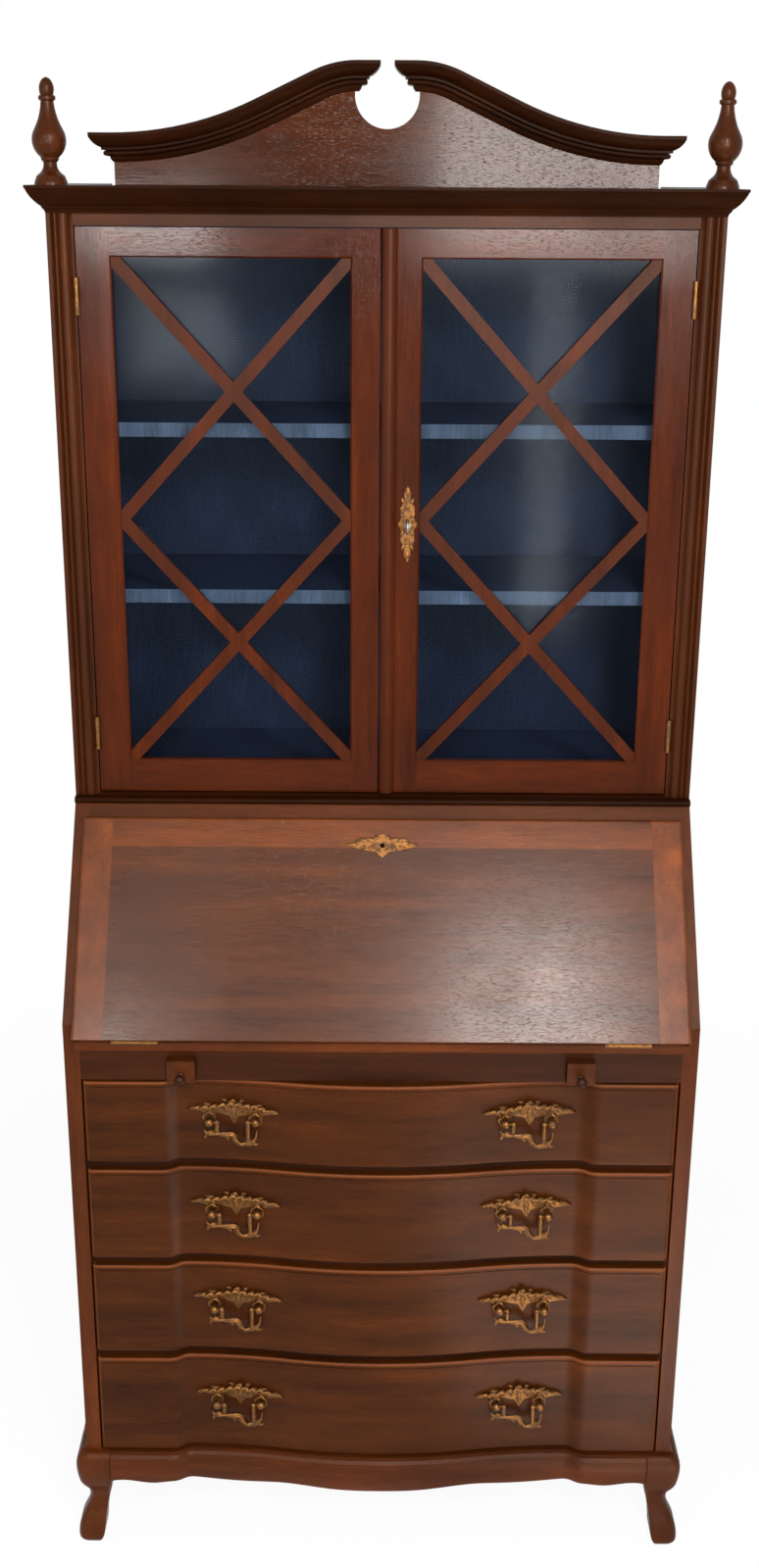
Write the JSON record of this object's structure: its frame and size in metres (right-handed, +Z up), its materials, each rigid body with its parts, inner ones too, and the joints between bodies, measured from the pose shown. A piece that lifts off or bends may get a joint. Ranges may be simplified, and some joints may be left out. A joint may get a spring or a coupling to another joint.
{
  "type": "bureau bookcase",
  "caption": "Mahogany bureau bookcase: swan-neck pediment, lattice-glazed doors, slant-front desk with pull-out supports, serpentine drawers and bracket feet.",
  "frame": {"origin": "on the floor under the middle of the overall box", "axes": "+Z up, +X to the right of a person facing the doors, -Y out of the front"},
  "size_m": [0.854, 0.474, 1.9665],
  "materials": {
    "mahogany": "satin, waxed",
    "door_mahogany": "satin, waxed",
    "drawer_mahogany": "satin, waxed",
    "fall_mahogany": "satin, waxed",
    "secondary_wood": "bare, planed",
    "painted_interior": "matt blue paint",
    "brass": "antique patina",
    "steel": "dull",
    "glass": "clear"
  },
  "bodies": {
    "case": {"lower_sides": "mahogany", "lower_top_board": "mahogany", "back_panels": "painted_interior", "writing_bed": "mahogany", "frieze_rail": "mahogany", "web_frames": "mahogany", "loper_guides": "secondary_wood", "base_apron": "mahogany", "legs": "mahogany", "pigeonholes": "mahogany", "upper_sides": "mahogany", "upper_boards": "painted_interior", "upper_face_frame": "mahogany", "cornice": "mahogany", "pediment_board": "mahogany", "pediment_mouldings": "mahogany", "finials": "mahogany", "shelves": "painted_interior", "shelf_pins": "steel", "waist_moulding": "mahogany", "fixed_hinge_leaves": "brass"},
    "left_door": {"left_door_frame": "door_mahogany", "left_door_lattice": "door_mahogany", "left_door_glass": "glass", "left_door_hinge_leaves": "brass"},
    "right_door": {"right_door_frame": "door_mahogany", "right_door_lattice": "door_mahogany", "right_door_glass": "glass", "right_door_hinge_leaves": "brass", "door_astragal": "door_mahogany", "door_lock_set": "brass"},
    "key": {"door_key": "steel"},
    "fall": {"fall_panel": "fall_mahogany", "fall_bands": "fall_mahogany", "fall_lock_set": "brass", "fall_hinge_leaves": "brass"},
    "left_loper": {"loper_left": "mahogany"},
    "right_loper": {"loper_right": "mahogany"},
    "left_inner_drawer": {"inner_drawer_left": "mahogany"},
    "right_inner_drawer": {"inner_drawer_right": "mahogany"},
    "drawer_1": {"drawer_1_front": "drawer_mahogany", "drawer_1_box": "secondary_wood", "drawer_1_pulls": "brass"},
    "drawer_1_left_bail": {"drawer_1_bail_left": "brass"},
    "drawer_1_right_bail": {"drawer_1_bail_right": "brass"},
    "drawer_2": {"drawer_2_front": "drawer_mahogany", "drawer_2_box": "secondary_wood", "drawer_2_pulls": "brass"},
    "drawer_2_left_bail": {"drawer_2_bail_left": "brass"},
    "drawer_2_right_bail": {"drawer_2_bail_right": "brass"},
    "drawer_3": {"drawer_3_front": "drawer_mahogany", "drawer_3_box": "secondary_wood", "drawer_3_pulls": "brass"},
    "drawer_3_left_bail": {"drawer_3_bail_left": "brass"},
    "drawer_3_right_bail": {"drawer_3_bail_right": "brass"},
    "drawer_4": {"drawer_4_front": "drawer_mahogany", "drawer_4_box": "secondary_wood", "drawer_4_pulls": "brass"},
    "drawer_4_left_bail": {"drawer_4_bail_left": "brass"},
    "drawer_4_right_bail": {"drawer_4_bail_right": "brass"}
  },
  "joints": [
    {"name": "left_door_hinge", "type": "hinge", "parent": "case", "child": "left_door", "pos_m": [-0.37475, -0.0275, 1.41975], "axis": [0, 0, -1], "range_deg": [0, 95]},
    {"name": "right_door_hinge", "type": "hinge", "parent": "case", "child": "right_door", "pos_m": [0.37475, -0.0275, 1.41975], "axis": [0, 0, 1], "range_deg": [0, 95]},
    {"name": "key_turn", "type": "hinge", "parent": "right_door", "child": "key", "pos_m": [0.029, -0.026, 1.421], "axis": [0, -1, 0], "range_deg": [0, 90]},
    {"name": "fall_hinge", "type": "hinge", "parent": "case", "child": "fall", "pos_m": [0, -0.21, 0.785], "axis": [1, 0, 0], "range_deg": [0, 125]},
    {"name": "left_loper_slide", "type": "slide", "parent": "case", "child": "left_loper", "axis": [0, -1, 0], "range_m": [0, 0.25]},
    {"name": "right_loper_slide", "type": "slide", "parent": "case", "child": "right_loper", "axis": [0, -1, 0], "range_m": [0, 0.25]},
    {"name": "left_inner_drawer_slide", "type": "slide", "parent": "case", "child": "left_inner_drawer", "axis": [0, -1, 0], "range_m": [0, 0.11]},
    {"name": "right_inner_drawer_slide", "type": "slide", "parent": "case", "child": "right_inner_drawer", "axis": [0, -1, 0], "range_m": [0, 0.11]},
    {"name": "drawer_1_slide", "type": "slide", "parent": "case", "child": "drawer_1", "axis": [0, -1, 0], "range_m": [0, 0.3]},
    {"name": "drawer_1_left_bail_swing", "type": "hinge", "parent": "drawer_1", "child": "drawer_1_left_bail", "pos_m": [-0.192, -0.21619, 0.673], "axis": [-1, 0, 0], "range_deg": [0, 90]},
    {"name": "drawer_1_right_bail_swing", "type": "hinge", "parent": "drawer_1", "child": "drawer_1_right_bail", "pos_m": [0.192, -0.21619, 0.673], "axis": [-1, 0, 0], "range_deg": [0, 90]},
    {"name": "drawer_2_slide", "type": "slide", "parent": "case", "child": "drawer_2", "axis": [0, -1, 0], "range_m": [0, 0.3]},
    {"name": "drawer_2_left_bail_swing", "type": "hinge", "parent": "drawer_2", "child": "drawer_2_left_bail", "pos_m": [-0.192, -0.21619, 0.534], "axis": [-1, 0, 0], "range_deg": [0, 90]},
    {"name": "drawer_2_right_bail_swing", "type": "hinge", "parent": "drawer_2", "child": "drawer_2_right_bail", "pos_m": [0.192, -0.21619, 0.534], "axis": [-1, 0, 0], "range_deg": [0, 90]},
    {"name": "drawer_3_slide", "type": "slide", "parent": "case", "child": "drawer_3", "axis": [0, -1, 0], "range_m": [0, 0.3]},
    {"name": "drawer_3_left_bail_swing", "type": "hinge", "parent": "drawer_3", "child": "drawer_3_left_bail", "pos_m": [-0.192, -0.21619, 0.386], "axis": [-1, 0, 0], "range_deg": [0, 90]},
    {"name": "drawer_3_right_bail_swing", "type": "hinge", "parent": "drawer_3", "child": "drawer_3_right_bail", "pos_m": [0.192, -0.21619, 0.386], "axis": [-1, 0, 0], "range_deg": [0, 90]},
    {"name": "drawer_4_slide", "type": "slide", "parent": "case", "child": "drawer_4", "axis": [0, -1, 0], "range_m": [0, 0.3]},
    {"name": "drawer_4_left_bail_swing", "type": "hinge", "parent": "drawer_4", "child": "drawer_4_left_bail", "pos_m": [-0.192, -0.21619, 0.23], "axis": [-1, 0, 0], "range_deg": [0, 90]},
    {"name": "drawer_4_right_bail_swing", "type": "hinge", "parent": "drawer_4", "child": "drawer_4_right_bail", "pos_m": [0.192, -0.21619, 0.23], "axis": [-1, 0, 0], "range_deg": [0, 90]}
  ]
}
